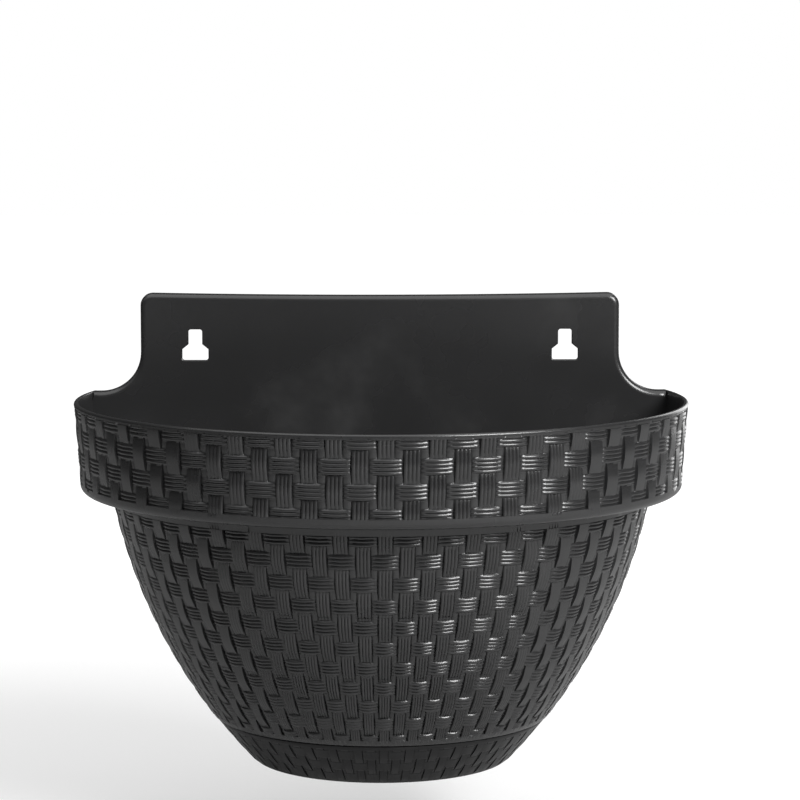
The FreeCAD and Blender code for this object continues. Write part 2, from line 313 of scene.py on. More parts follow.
def weave_height(u, v, weave, upright_rods, level_rods, level_share=1.0):
    """Height of the weave from 0 to 1, a strand's top, at places u across and v down.

    Upright strands run at whole u and level ones at whole v. Each rises and dips as half a cosine,
    over at every second crossing, with grooves between its rods and a slit beside it where it lies
    over. The highest surface wins. Level strands stand at level_share of the upright ones' height.
    """
    column, row = np.round(u), np.round(v)
    du, dv = u - column, v - row
    over = np.where((column + row) % 2 == 0, 1.0, -1.0)
    beside_upright = weave.slit * slit_beside(du, weave.strand)
    beside_level = weave.level_slit * slit_beside(dv, weave.strand)
    upright = 0.5 + 0.5 * over * np.cos(np.pi * dv) - beside_level * (over < 0)
    level = 0.5 - 0.5 * over * np.cos(np.pi * du) - beside_upright * (over > 0)
    width, rods, roundness = weave.strand, weave.rods, weave.roundness
    upright = upright - upright_rods * (1 - rod_crest(du, width, rods, roundness, UPRIGHT_CREST))
    level = level - level_rods * (1 - rod_crest(dv, width, rods, roundness, weave.crest))
    inside = weave.strand / 2 + TINY
    ground = weave.ground - np.maximum(beside_upright, beside_level)
    upright = np.where(np.abs(du) <= inside, upright, ground)
    level = np.where(np.abs(dv) <= inside, level * level_share, ground)
    return np.maximum(upright, level)


def smooth_step(value, low, high):
    """0 below low, 1 above high and 3t^2 - 2t^3 between."""
    t = np.clip((value - low) / (high - low), 0, 1)
    return t * t * (3 - 2 * t)


# -------- turned grids

class Rows:
    """Rows of a turned section: radius, height, cut distance from the wall, place in the weave."""

    def __init__(self):
        self.points = []
        self.normals = []
        self.cuts = []
        self.places = []
        self.depths = []

    def add(self, points, cut=0.0, places=None, depth=0.0):
        """Adds rows: places are in pitches down the weave, and plain rows lie in by depth."""
        points = np.atleast_2d(points)
        self.points.append(points)
        self.normals.append(normals_of(points))
        self.cuts.append(np.full(len(points), cut))
        self.places.append(np.full(len(points), np.nan) if places is None else places)
        self.depths.append(np.full(len(points), depth))

    def arrays(self):
        """The rows as whole arrays, with their normals turned outwards."""
        points = np.concatenate(self.points)
        normals = np.concatenate(self.normals) * turning(points)
        rest = [np.concatenate(column) for column in (self.cuts, self.places, self.depths)]
        return points, normals, *rest


def turning(points):
    """1 for a closed line that runs anticlockwise, else -1: the sign of the sum of x dy - y dx."""
    x, y = points.T
    return np.sign(np.sum(x * np.roll(y, -1) - y * np.roll(x, -1)))


def normals_of(points):
    """Unit normals to the right of a line, square to the line between each point's neighbours."""
    if len(points) < 2:
        return np.zeros((len(points), 2))
    along = np.gradient(points, axis=0)
    across = np.column_stack([along[:, 1], -along[:, 0]])
    return across / np.maximum(np.hypot(*across.T), 1e-9)[:, None]


def turned_grid(rows, columns, relief):
    """Places of a turned grid, and the number of each place after the wall has cut the rows.

    A row of radius r meets its cut plane at the angle acos(-(axis distance - cut) / r). Places
    past it move onto the plane and become one. relief(turn, place, points) is how far in each
    woven place lies, in millimetres, square to the section.
    """
    points, normals, cuts, places, depths = rows.arrays()
    count = len(columns)
    turn = np.broadcast_to(columns[None, :], (len(points), count))
    back = -(AXIS_TO_WALL - cuts)[:, None]
    limit = np.arccos(np.clip(back / np.maximum(points[:, :1], TINY), -1, 1))
    held = np.clip(turn, -limit, limit)
    woven = ~np.isnan(places)
    inward = np.broadcast_to(depths[:, None], turn.shape).copy()
    if woven.any():
        inward[woven] = relief(held[woven], places[woven][:, None], points[woven])
    radius = points[:, 0][:, None] - normals[:, 0][:, None] * inward
    height = points[:, 1][:, None] - normals[:, 1][:, None] * inward
    depth_limit = np.arccos(np.clip(back / np.maximum(radius, TINY), -1, 1))
    held = np.clip(held, -depth_limit, depth_limit)
    x = radius * np.sin(held)
    y = -AXIS_TO_WALL - radius * np.cos(held)
    first = np.maximum((turn <= -limit).sum(axis=1) - 1, 0)
    last = np.minimum(count - (turn >= limit).sum(axis=1), count - 1)
    index = np.clip(np.arange(count)[None, :], first[:, None], last[:, None])
    index = index + np.arange(len(points))[:, None] * count
    full = limit[:, 0] > math.pi - TINY
    index[full, -1] = index[full, 0]
    axis = points[:, 0] < TINY
    index[axis] = index[axis, :1]
    place = np.stack([x, y, height], axis=-1).reshape(-1, 3)
    return place, index


def quads_to_triangles(a, b, c, d):
    """Two triangles for each quad, leaving out those that the wall's cut has closed up."""
    triangles = np.concatenate([
        np.stack([a, b, c], axis=-1).reshape(-1, 3),
        np.stack([a, c, d], axis=-1).reshape(-1, 3),
    ])
    same = (triangles[:, 0] == triangles[:, 1]) | (triangles[:, 1] == triangles[:, 2])
    same |= triangles[:, 0] == triangles[:, 2]
    return triangles[~same]


def flat_fill(loops):
    """Triangles that fill flat loops of (x, z) points, the first outside and the rest holes."""
    outlines = [[Vector((p[0], p[1], 0.0)) for p in loop] for loop in loops]
    return np.array(tessellate_polygon(outlines), int).reshape(-1, 3)


def ring_shell(rows, columns, relief):
    """Closed shell: a closed section carried round the axis, with both ends filled at the wall."""
    place, index = turned_grid(rows, columns, relief)
    after = np.roll(index, -1, axis=0)
    triangles = [quads_to_triangles(index[:, :-1], index[:, 1:], after[:, 1:], after[:, :-1])]
    for column in (0, -1):
        loop = index[:, column]
        triangles.append(loop[flat_fill([place[loop][:, [0, 2]]])])
    return place, np.concatenate(triangles)


def dish(rows, columns, relief):
    """Closed dish: a section from axis to axis carried round, with a flat back across it."""
    place, index = turned_grid(rows, columns, relief)
    index = np.column_stack([index, index[:, 0]])
    triangles = quads_to_triangles(index[:-1, :-1], index[:-1, 1:], index[1:, 1:], index[1:, :-1])
    return place, triangles


def lathe(section, centre, sides=32):
    """Closed solid of revolution about an upright line: a section from axis to axis in steps."""
    section = np.asarray(section, float)
    turn = np.linspace(0, 2 * np.pi, sides, endpoint=False)
    x = centre[0] + section[:, :1] * np.cos(turn)
    y = centre[1] + section[:, :1] * np.sin(turn)
    z = np.broadcast_to(section[:, 1:], x.shape)
    index = np.arange(section.shape[0] * sides).reshape(-1, sides)
    on_axis = section[:, 0] < TINY
    index[on_axis] = index[on_axis, :1]
    after = np.roll(index, -1, axis=1)
    return np.stack([x, y, z], axis=-1).reshape(-1, 3), quads_to_triangles(
        index[:-1], after[:-1], after[1:], index[1:])


# -------- meshes

def new_piece(name, parts, material, body, node):
    """Makes one mesh object from (places in millimetres from the rim, triangles) pairs.

    Close places are merged, faces turned outwards and edges past SHARP_DEGREES kept sharp. Faces
    square to an axis are shaded flat.
    """
    places, triangles, offset = [], [], 0
    for place, triangle in parts:
        places.append(place)
        triangles.append(triangle + offset)
        offset += len(place)
    places = np.concatenate(places)
    triangles = np.concatenate(triangles)
    used, flat = np.unique(triangles, return_inverse=True)
    places = places[used] + (0, 0, RIM_HEIGHT)
    triangles = flat.reshape(-1, 3)

    mesh = bpy.data.meshes.new(name)
    mesh.vertices.add(len(places))
    mesh.vertices.foreach_set("co", (places * MM).astype(np.float32).ravel())
    mesh.loops.add(triangles.size)
    mesh.loops.foreach_set("vertex_index", triangles.astype(np.int32).ravel())
    mesh.polygons.add(len(triangles))
    mesh.polygons.foreach_set("loop_start", np.arange(0, triangles.size, 3, dtype=np.int32))
    mesh.update(calc_edges=True)
    mesh.validate()

    work = bmesh.new()
    work.from_mesh(mesh)
    bmesh.ops.remove_doubles(work, verts=work.verts, dist=MERGE_DISTANCE)
    bmesh.ops.dissolve_degenerate(work, edges=work.edges, dist=TINY)
    bmesh.ops.recalc_face_normals(work, faces=work.faces)
    work.to_mesh(mesh)
    work.free()

    mesh.shade_smooth()
    mesh.set_sharp_from_angle(angle=math.radians(SHARP_DEGREES))
    normals = np.empty(len(mesh.polygons) * 3, np.float32)
    mesh.polygons.foreach_get("normal", normals)
    square = np.abs(normals.reshape(-1, 3)).max(axis=1) > SQUARE
    mesh.polygons.foreach_set("use_smooth", ~square)
    piece = bpy.data.objects.new(name, mesh)
    bpy.context.scene.collection.objects.link(piece)
    mesh.materials.append(material)
    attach(piece, body)
    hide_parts(node)


# -------- finish

def link(tree, source, output, target, socket):
    """Joins one node's output to another's input, each by name or number."""
    tree.links.new(source.outputs[output], target.inputs[socket])


def finish_group():
    """Node group for moulded plastic: pellet grain, faint flow marks and dry dust smudges.

    It puts out a colour, a roughness and a bump height that change over the surface.
    """
    existing = bpy.data.node_groups.get("Moulded plastic")
    if existing:
        return existing
    group = bpy.data.node_groups.new("Moulded plastic", "ShaderNodeTree")
    sockets = group.interface
    colour = sockets.new_socket("Colour", in_out="INPUT", socket_type="NodeSocketColor")
    colour.default_value = (0.04, 0.04, 0.042, 1)
    for name, value in (("Roughness", 0.35), ("Dust", 0.1), ("Smudge size", 9.0)):
        socket = sockets.new_socket(name, in_out="INPUT", socket_type="NodeSocketFloat")
        socket.default_value = value
    sockets.new_socket("Colour", in_out="OUTPUT", socket_type="NodeSocketColor")
    sockets.new_socket("Roughness", in_out="OUTPUT", socket_type="NodeSocketFloat")
    sockets.new_socket("Height", in_out="OUTPUT", socket_type="NodeSocketFloat")

    def add(kind, **values):
        node = group.nodes.new(kind)
        for key, value in values.items():
            setattr(node, key, value)
        return node

    enter = add("NodeGroupInput")
    leave = add("NodeGroupOutput")
    where = add("ShaderNodeTexCoord")

    smudge = add("ShaderNodeTexNoise")
    smudge.inputs["Detail"].default_value = 5.0
    smudge.inputs["Roughness"].default_value = 0.62
    link(group, where, "Object", smudge, "Vector")
    link(group, enter, "Smudge size", smudge, "Scale")
    patch = add("ShaderNodeMapRange", interpolation_type="SMOOTHSTEP")
    patch.inputs["From Min"].default_value = 0.52
    patch.inputs["From Max"].default_value = 0.78
    link(group, smudge, "Fac", patch, "Value")

    flow = add("ShaderNodeTexNoise")
    flow.inputs["Scale"].default_value = 22.0
    flow.inputs["Detail"].default_value = 3.0
    link(group, where, "Object", flow, "Vector")

    grain = add("ShaderNodeTexNoise")
    grain.inputs["Scale"].default_value = 1400.0
    grain.inputs["Detail"].default_value = 2.0
    link(group, where, "Object", grain, "Vector")

    dust = add("ShaderNodeMath", operation="MULTIPLY")
    link(group, patch, "Result", dust, 0)
    link(group, enter, "Dust", dust, 1)
    lighter = add("ShaderNodeMix", data_type="RGBA")
    lighter.inputs["B"].default_value = (0.30, 0.30, 0.295, 1)
    link(group, dust, "Value", lighter, "Factor")
    link(group, enter, "Colour", lighter, "A")
    shade = add("ShaderNodeMapRange")
    shade.inputs["To Min"].default_value = 0.86
    shade.inputs["To Max"].default_value = 1.14
    link(group, flow, "Fac", shade, "Value")
    tint = add("ShaderNodeMix", data_type="RGBA", blend_type="MULTIPLY")
    tint.inputs["Factor"].default_value = 1.0
    link(group, lighter, "Result", tint, "A")
    link(group, shade, "Result", tint, "B")
    link(group, tint, "Result", leave, "Colour")

    rough_flow = add("ShaderNodeMapRange")
    rough_flow.inputs["To Min"].default_value = -0.05
    rough_flow.inputs["To Max"].default_value = 0.05
    link(group, flow, "Fac", rough_flow, "Value")
    rough = add("ShaderNodeMath", operation="ADD")
    link(group, enter, "Roughness", rough, 0)
    link(group, rough_flow, "Result", rough, 1)
    rough_dust = add("ShaderNodeMath", operation="MULTIPLY_ADD")
    rough_dust.inputs[1].default_value = 1.2
    link(group, dust, "Value", rough_dust, 0)
    link(group, rough, "Value", rough_dust, 2)
    link(group, rough_dust, "Value", leave, "Roughness")
    link(group, grain, "Fac", leave, "Height")
    return group


def plastic(name, colour, roughness, dust, specular):
    """Satin moulded plastic whose colour, roughness and fine grain come from the shared group."""
    existing = bpy.data.materials.get(name)
    if existing:
        return existing
    material = bpy.data.materials.new(name)
    material.use_nodes = True
    tree = material.node_tree
    shader = tree.nodes["Principled BSDF"]
    shader.inputs["Specular IOR Level"].default_value = specular
    group = tree.nodes.new("ShaderNodeGroup")
    group.node_tree = finish_group()
    group.inputs["Colour"].default_value = (*colour, 1)
    group.inputs["Roughness"].default_value = roughness
    group.inputs["Dust"].default_value = dust
    bump = tree.nodes.new("ShaderNodeBump")
    bump.inputs["Strength"].default_value = 0.25
    bump.inputs["Distance"].default_value = 0.0001
    link(tree, group, "Colour", shader, "Base Color")
    link(tree, group, "Roughness", shader, "Roughness")
    link(tree, group, "Height", bump, "Height")
    link(tree, bump, "Normal", shader, "Normal")
    return material


# -------- settings

class WeaveSettings(bpy.types.PropertyGroup):
    """Sizes of the moulded basket weave."""

    columns: IntProperty(
        name="Columns", description="Upright strands in a full turn", default=80, min=20)
    rods: IntProperty(name="Rods", description="Rods side by side in one strand", default=4, min=1)
    strand: FloatProperty(
        name="Strand", description="Strand width as a share of the pitch", default=0.635)
    ground: FloatProperty(
        name="Ground", description="Level of the ground between strands", default=0.1)
    slit: FloatProperty(
        name="Slit", description="Depth of the slits beside upright strands", default=0.32)
    level_slit: FloatProperty(
        name="Level slit", description="Depth of the slits beside level strands", default=0.06)
    groove: FloatProperty(
        name="Groove", description="Depth of the grooves between rods", default=0.52)
    crest: FloatProperty(
        name="Crest", description="How far down a level rod its crest lies", default=0.6)
    roundness: FloatProperty(
        name="Roundness", description="Power that shapes the rods", default=0.85)
    depth: FloatProperty(
        name="Depth", description="Depth of the weave",
        default=1.3 * MM, unit="LENGTH", precision=5)
    tray_depth: FloatProperty(
        name="Tray depth", description="Depth of the tray's weave",
        default=0.6 * MM, unit="LENGTH", precision=5)
    band_pitch: FloatProperty(
        name="Band rows", description="Row pitch on the band",
        default=11.5 * MM, unit="LENGTH", precision=5)
    body_pitch: FloatProperty(
        name="Body rows", description="Row pitch on the body",
        default=11.4 * MM, unit="LENGTH", precision=5)
    tray_pitch: FloatProperty(
        name="Tray rows", description="Row pitch on the tray",
        default=8.6 * MM, unit="LENGTH", precision=5)


class FinishSettings(bpy.types.PropertyGroup):
    """Colours and gloss of the two mouldings; the tray's colour is the pot's plastic darkened as
    painted shade.
    """

    pot_colour: FloatVectorProperty(
        name="Pot", description="Colour of the pot", subtype="COLOR",
        default=(0.019, 0.019, 0.0194))
    # Painted shade: the tray's colour is kept darker than the pot's to stand in for the shade low
    # on the planter.
    tray_colour_with_painted_shade: FloatVectorProperty(
        name="Tray", description="Colour of the tray", subtype="COLOR",
        default=(0.011, 0.011, 0.0113))
    roughness: FloatProperty(
        name="Roughness", description="Roughness of the plastic", default=0.27)
    dust: FloatProperty(name="Dust", description="How much dust the smudges hold", default=0.07)


class StageSettings(bpy.types.PropertyGroup):
    """The camera and the lights."""

    target: FloatVectorProperty(
        name="Target", description="Point that the camera looks past", subtype="XYZ",
        default=(0.0, -0.060, -0.0887))
    azimuth: FloatProperty(name="Azimuth", description="Camera azimuth in degrees", default=-0.8)
    elevation: FloatProperty(
        name="Elevation", description="Camera elevation in degrees", default=8.5)
    distance: FloatProperty(
        name="Distance", description="Camera distance", default=1.5277, unit="LENGTH")
    lens: FloatProperty(name="Lens", description="Focal length in millimetres", default=141.3)
    aim_right: FloatProperty(
        name="Aim right", description="Aim to the right of the target, as a slope",
        default=0.00579)
    aim_up: FloatProperty(
        name="Aim up", description="Aim above the target, as a slope", default=0.03994)


# -------- the weave on each part

def column_places(weave, reach_degrees, rods_degrees, full=False):
    """Column angles in radians: fine out to where the rods end, then coarser out to the reach.

    A full set goes on in even steps to the half turn behind.
    """
    pitch = 360.0 / weave.columns
    reach, middle = reach_degrees / pitch, rods_degrees / pitch
    fine = weave_samples(-middle, middle, weave.strand, weave.rods, UPRIGHT_ROD)
    side = weave_samples(middle, reach, weave.strand, weave.rods, PLAIN_ROD)[1:]
    places = np.concatenate([-side[::-1], fine, side]) * math.radians(pitch)
    if not full:
        return places
    rest = np.linspace(places[-1], math.pi, REST_COLUMNS)[1:]
    return np.concatenate([-rest[::-1], places, rest])


def relief_function(weave, depth, low_groove=1.0, rods=True, level_share=1.0):
    """Makes relief(turn, place, points): how far in the weave lies, in millimetres.

    Grooves on the upright strands fade towards the sides, where the mould could not pull them, and
    the weave gets shallower there. All grooves fade down the pot, to low_groove at the base.
    """
    pitch = 2 * math.pi / weave.columns

    def relief(turn, place, points):
        angle = np.abs(np.degrees(turn))
        side = 1 - smooth_step(angle, ROD_FADE, ROD_END)
        shallow = 1 - SIDE_LOSS * smooth_step(angle, SIDE_START, SIDE_END)
        fade = 1 - (1 - low_groove) * smooth_step(-points[:, 1], LOW_START, LOW_END)
        level = fade[:, None] * (weave.groove if rods else 0.0)
        upright = level * side * UPRIGHT_GROOVE
        height = weave_height(turn / pitch, place, weave, upright, level, level_share)
        return depth / MM * shallow * (1 - height)

    return relief


def weave_rows(weave, start, end, first, pitch):
    """Rows between two lengths down a section: lengths, and places in pitches from the first."""
    low, high = (start - first) / pitch, (end - first) / pitch
    places = weave_samples(low, high, weave.strand, weave.rods, LEVEL_ROD)
    return places * pitch + first, places


# -------- operators

class PLANTER_OT_band(bpy.types.Operator):
    """Makes the wide woven band with its rolled lip, its rolled foot and the ledge under it"""

    bl_idname = "planter.make_band"
    bl_label = "Band"

    def execute(self, context):
        weave = context.scene.planter_weave
        rows = Rows()
        rows.add([[LEDGE_INNER - LAP, LEDGE_HEIGHT], [LEDGE_INNER + 3 * LAP, LEDGE_HEIGHT]])
        rows.add(bend((BAND_LOW_RADIUS - BAND_ROLL, ROLL_HEIGHT), BAND_ROLL, -90, -8, 9))

        def band_radius(height):
            return RIM_RADIUS + (RIM_RADIUS - BAND_LOW_RADIUS) * height / -ROLL_HEIGHT

        pitch = weave.band_pitch / MM
        down, places = weave_rows(
            weave, -BAND_WEAVE_TOP, -BAND_WEAVE_LOW, BAND_FIRST_ROW, pitch)
        heights = -down[::-1]
        foot, lip = BAND_WEAVE_LOW - STRIP, BAND_WEAVE_TOP + STRIP
        rows.add([band_radius(foot), foot])
        rows.add(np.column_stack([band_radius(heights), heights]), places=places[::-1])
        rows.add([[band_radius(lip), lip], [band_radius(BAND_LIP_TOP), BAND_LIP_TOP]],
                 depth=BAND_LIP_DEPTH)
        rows.add(bend((RIM_RADIUS - RIM_ROUND, -RIM_ROUND), RIM_ROUND, -15, 90, 7))
        inner = RIM_RADIUS - WALL
        rows.add(bend((inner + RIM_INNER_ROUND, -RIM_INNER_ROUND), RIM_INNER_ROUND, 90, 180, 4))
        rows.add([[inner - STRIP, INNER_TOP], [BAND_LOW_RADIUS - WALL, ROLL_HEIGHT]])
        rows.add([[BAND_LOW_RADIUS - BAND_ROLL, LEDGE_HEIGHT + WALL],
                  [LEDGE_INNER - LAP, LEDGE_HEIGHT + WALL]])
        columns = column_places(weave, BAND_REACH, ROD_END)
        shell = ring_shell(rows, columns, relief_function(weave, weave.depth))
        make_pot_piece(context, "pot_band", [shell])
        return {"FINISHED"}


class PLANTER_OT_body(bpy.types.Operator):
    """Makes the round woven body in three rings, the lowest with the spigot for the tray"""

    bl_idname = "planter.make_body"
    bl_label = "Body"

    def execute(self, context):
        weave = context.scene.planter_weave
        pitch = weave.body_pitch / MM
        relief = relief_function(weave, weave.depth, low_groove=LOW_GROOVE)
        columns = column_places(weave, BODY_REACH, ROD_END)
        splits = [BODY_FIRST_ROW + row * pitch for row in BODY_SPLIT_ROWS]
        starts = [arc_length(COLLAR_END)] + splits
        ends = splits + [arc_length(BODY_WEAVE_END)]
        for name, start, end in zip(("upper", "middle", "lower"), starts, ends):
            rows = Rows()
            if name == "upper":
                rows.add(arc_points(LEDGE_HEIGHT + RING_LAP))
                collar = arc_points([LEDGE_HEIGHT - LAP / 2, COLLAR_END + STRIP])
                rows.add(collar, depth=COLLAR_DEPTH)
            down, places = weave_rows(weave, start, end, BODY_FIRST_ROW, pitch)
            rows.add(arc_points(height_at(down)), places=places)
            low, high = float(height_at(end)), float(height_at(start))
            if name == "upper":
                high = LEDGE_HEIGHT + RING_LAP
            if name == "lower":
                low = SEAM_HEIGHT + WALL
                add_spigot(rows)
            rows.add(arc_points(np.linspace(low, high, 7), WALL))
            make_pot_piece(context, "pot_body_" + name, [ring_shell(rows, columns, relief)])
        return {"FINISHED"}


def add_spigot(rows):
    """Adds the plain lip, the seam's shelf and the tapered spigot with its rounded foot."""
    lip = arc_points([BODY_WEAVE_END - STRIP, SEAM_HEIGHT + SEAM_GAP])
    rows.add(lip, depth=BODY_LIP_DEPTH)
    rows.add(arc_points(SEAM_HEIGHT) - (SEAM_GAP, 0))
    rows.add(fit_points(SEAM_HEIGHT, SPIGOT_INSET))
    rows.add(fit_points(FLOOR_UNDER + FLOOR_EDGE, SPIGOT_INSET), cut=PLATE_BACK)
    floor = fit_points(FLOOR_UNDER, SPIGOT_INSET) - (FLOOR_EDGE, 0)
    rows.add(floor, cut=PLATE_BACK)
    rows.add([floor[0, 0] - LAP, FLOOR_TOP - STRIP], cut=PLATE_BACK)
    rows.add(fit_points(FLOOR_TOP + FLOOR_EDGE, SPIGOT_INSET + WALL), cut=PLATE_BACK)
    rows.add(fit_points(SEAM_HEIGHT + WALL, SPIGOT_INSET + WALL))


def keyhole_outline(side):
    """Outline of one keyhole as (x, z): round-cornered neck, sloping shoulders and wide head."""
    r = KEYHOLE_CORNER
    bottom = KEYHOLE_TOP - KEYHOLE_HEIGHT
    neck_end = KEYHOLE_TOP - NECK_HEIGHT
    right = np.concatenate([
        bend((NECK_HALF - r, KEYHOLE_TOP - r), r, 90, 0, 6),
        [[NECK_HALF, neck_end], [HEAD_HALF, neck_end - HEAD_SHOULDER]],
        bend((HEAD_HALF - r, bottom + r), r, 0, -90, 6),
    ])
    left = right[::-1] * (-1, 1)
    return np.concatenate([right, left]) + (side * KEYHOLE_X, 0)


def plate_outline():
    """Right half of the plate's outline as (x, z), from the top's middle to the shoulder."""
    side = PLATE_HALF_WIDTH
    top_x = np.linspace(0, side - PLATE_CORNER, 14)[:-1]
    sag = PLATE_SAG * (1 - (top_x / (side - PLATE_CORNER)) ** 2)
    corner = bend((side - PLATE_CORNER, PLATE_RISE - PLATE_CORNER), PLATE_CORNER, 90, 0, 10)
    sweep = bend((side + PLATE_SWEEP, PLATE_SWEEP), PLATE_SWEEP, 180, 270, 22)
    shoulder = [[math.sqrt(RIM_RADIUS ** 2 - AXIS_TO_WALL ** 2) - WALL / 2, 0.0]]
    return np.concatenate([np.column_stack([top_x, PLATE_RISE - sag]), corner, sweep, shoulder])


def plate_loop(offset, cut):
    """Whole outline of back wall and plate, closed, the plate part drawn in by offset.

    Below the rim it follows the middle of the shell's wall at a distance cut from the wall:
    x = sqrt(r^2 - (axis distance - cut)^2).
    """
    upper = plate_outline()
    upper = upper + normals_of(upper) * offset
    hold = INNER_LAP - WALL
    section = np.concatenate([
        [[RIM_RADIUS + hold, BACK_TOP], [BAND_LOW_RADIUS + hold, ROLL_HEIGHT]],
        [[BAND_LOW_RADIUS + hold, LEDGE_HEIGHT + LEDGE_HOLD],
         [LEDGE_INNER + hold, LEDGE_HEIGHT + LEDGE_HOLD - SHELF_LAP]],
        arc_points(np.linspace(LEDGE_HEIGHT, SEAM_HEIGHT + WALL, 24), -hold),
        fit_points([SEAM_HEIGHT + WALL - SHELF_LAP, FLOOR_TOP + FLOOR_EDGE], SPIGOT_INSET - hold),
        fit_points(FLOOR_TOP - LAP / 2, SPIGOT_INSET - hold) - (FLOOR_EDGE, 0),
    ])
    across = np.sqrt(np.maximum(section[:, 0] ** 2 - (AXIS_TO_WALL - cut) ** 2, 0))
    lower = np.column_stack([across, section[:, 1]])
    right = np.concatenate([upper, lower])
    return np.concatenate([right, right[:0:-1] * (-1, 1)])


class PLANTER_OT_back(bpy.types.Operator):
    """Makes the back wall and the raised plate with its flange, rounded edge and two keyholes"""

    bl_idname = "planter.make_back"
    bl_label = "Back plate"

    def execute(self, context):
        edge = np.radians(np.linspace(0, 90, 8))
        offsets = PLATE_EDGE * (1 - np.cos(edge))
        distances = PLATE_FRONT - PLATE_EDGE * (1 - np.sin(edge))
        steps = [(WALL, PLATE_BACK, PLATE_BACK), (WALL, 0.0, PLATE_BACK),
                 (BACK_CHAMFER, 0.0, PLATE_BACK), (0.0, BACK_CHAMFER, PLATE_BACK)]
        steps += [(offset, distance, PLATE_FRONT) for offset, distance in zip(offsets, distances)]
        steps.append((PLATE_EDGE + PLATE_BORDER, PLATE_FRONT, PLATE_FRONT))
        plate_count = len(plate_outline())
        loops = []
        for offset, distance, cut in steps:
            loop = plate_loop(offset, cut)
            on_plate = np.zeros(len(loop), bool)
            on_plate[:plate_count] = True
            on_plate[len(loop) - plate_count + 1:] = True
            y = -np.where(on_plate, distance, cut)
            loops.append(np.column_stack([loop[:, 0], y, loop[:, 1]]))
        count = len(loops[0])
        place = np.concatenate(loops)
        index = np.arange(len(place)).reshape(-1, count)
        after = np.roll(index, -1, axis=1)
        triangles = [quads_to_triangles(index[:-1], after[:-1], after[1:], index[1:])]
        holes = [keyhole_outline(side) for side in (-1, 1)]
        start = len(place)
        ring = len(holes[0])
        edges = [(PLATE_FRONT - PLATE_BACK, 0.0), *KEYHOLE_EDGE]
        extra = []
        for hole in holes:
            outward = normals_of(hole) * turning(hole)
            for behind, grow in edges:
                wider = hole + outward * grow
                y = np.full(ring, behind - PLATE_FRONT)
                extra.append(np.column_stack([wider[:, 0], y, wider[:, 1]]))
        place = np.concatenate([place] + extra)
        keys = np.arange(start, start + ring * len(extra)).reshape(2, len(edges), ring)
        for key in keys:
            follow = np.roll(key, -1, axis=1)
            triangles.append(quads_to_triangles(key[:-1], follow[:-1], follow[1:], key[1:]))
        for outer, level in ((index[0], 0), (index[-1], -1)):
            order = np.concatenate([outer, keys[0, level], keys[1, level]])
            flat = [place[ids][:, [0, 2]] for ids in (outer, keys[0, level], keys[1, level])]
            triangles.append(order[flat_fill(flat)])
        middle = arc_points(SEAM_HEIGHT, WALL / 2)[0, 0] - SEAM_GAP
        reach = math.sqrt(middle ** 2 - AXIS_TO_WALL ** 2)
        shelf = box_part(
            (-reach, -PLATE_BACK - SHELF_LAP, SEAM_HEIGHT), (reach, -SKIN, SEAM_HEIGHT + WALL))
        make_pot_piece(context, "pot_back", [(place, np.concatenate(triangles)), shelf])
        return {"FINISHED"}


def box_part(low, high):
    """Closed box between two corners, as places and triangles."""
    grid = np.array([[x, y, z] for x in (0, 1) for y in (0, 1) for z in (0, 1)], float)
    place = np.array(low) + grid * (np.array(high) - np.array(low))
    faces = np.array([[0, 1, 3, 2], [4, 6, 7, 5], [0, 4, 5, 1],
                      [2, 3, 7, 6], [0, 2, 6, 4], [1, 5, 7, 3]])
    return place, quads_to_triangles(*faces.T)


def ring_places(radius, count, start_degrees):
    """Centres (x, y) spread evenly about the round's axis."""
    angle = np.radians(start_degrees) + np.arange(count) * 2 * np.pi / count
    return np.column_stack([radius * np.cos(angle), radius * np.sin(angle) - AXIS_TO_WALL])


class PLANTER_OT_floor(bpy.types.Operator):
    """Makes the pot's floor with its drain holes and the three sockets under it"""

    bl_idname = "planter.make_floor"
    bl_label = "Floor"

    def execute(self, context):
        radius = fit_points(FLOOR_UNDER, SPIGOT_INSET)[0, 0] - FLOOR_EDGE - FLOOR_SHORT
        cut = PLATE_BACK + LAP
        limit = math.acos(-(AXIS_TO_WALL - cut) / radius)
        turn = np.linspace(-limit, limit, 90)
        outline = np.column_stack([radius * np.sin(turn), -AXIS_TO_WALL - radius * np.cos(turn)])
        places = [np.array([0.0, -AXIS_TO_WALL])] + list(ring_places(DRAIN_RING, 6, 0.0))
        circle = bend((0, 0), DRAIN_RADIUS, 0, 360, 29)[:-1]
        holes = [circle + p for p in places if p[1] < -PLATE_FRONT - FLOOR_EDGE - DRAIN_RADIUS]
        loops = [outline] + holes
        flat = np.concatenate(loops)
        levels = (FLOOR_UNDER + SKIN, FLOOR_TOP)
        place = np.concatenate([np.column_stack([flat, np.full(len(flat), z)]) for z in levels])
        fill = flat_fill(loops)
        triangles = [fill, fill + len(flat)]
        start = 0
        for loop in loops:
            low = np.arange(start, start + len(loop))
            follow = np.roll(low, -1)
            triangles.append(quads_to_triangles(low, follow, follow + len(flat), low + len(flat)))
            start += len(loop)
        parts = [(place, np.concatenate(triangles))]
        end = TRAY_FLOOR_TOP + SPIGOT_CLEARANCE
        top = end + SOCKET_DEPTH
        root = FLOOR_UNDER + LAP
        section = [[0, root], [SOCKET_OUTSIDE, root], [SOCKET_OUTSIDE, end],
                   [SOCKET_BORE, end], [SOCKET_BORE, top], [0, top]]
        parts += [lathe(section, centre) for centre in ring_places(SOCKET_RING, 3, -90.0)]
        make_pot_piece(context, "pot_floor", parts)
        return {"FINISHED"}


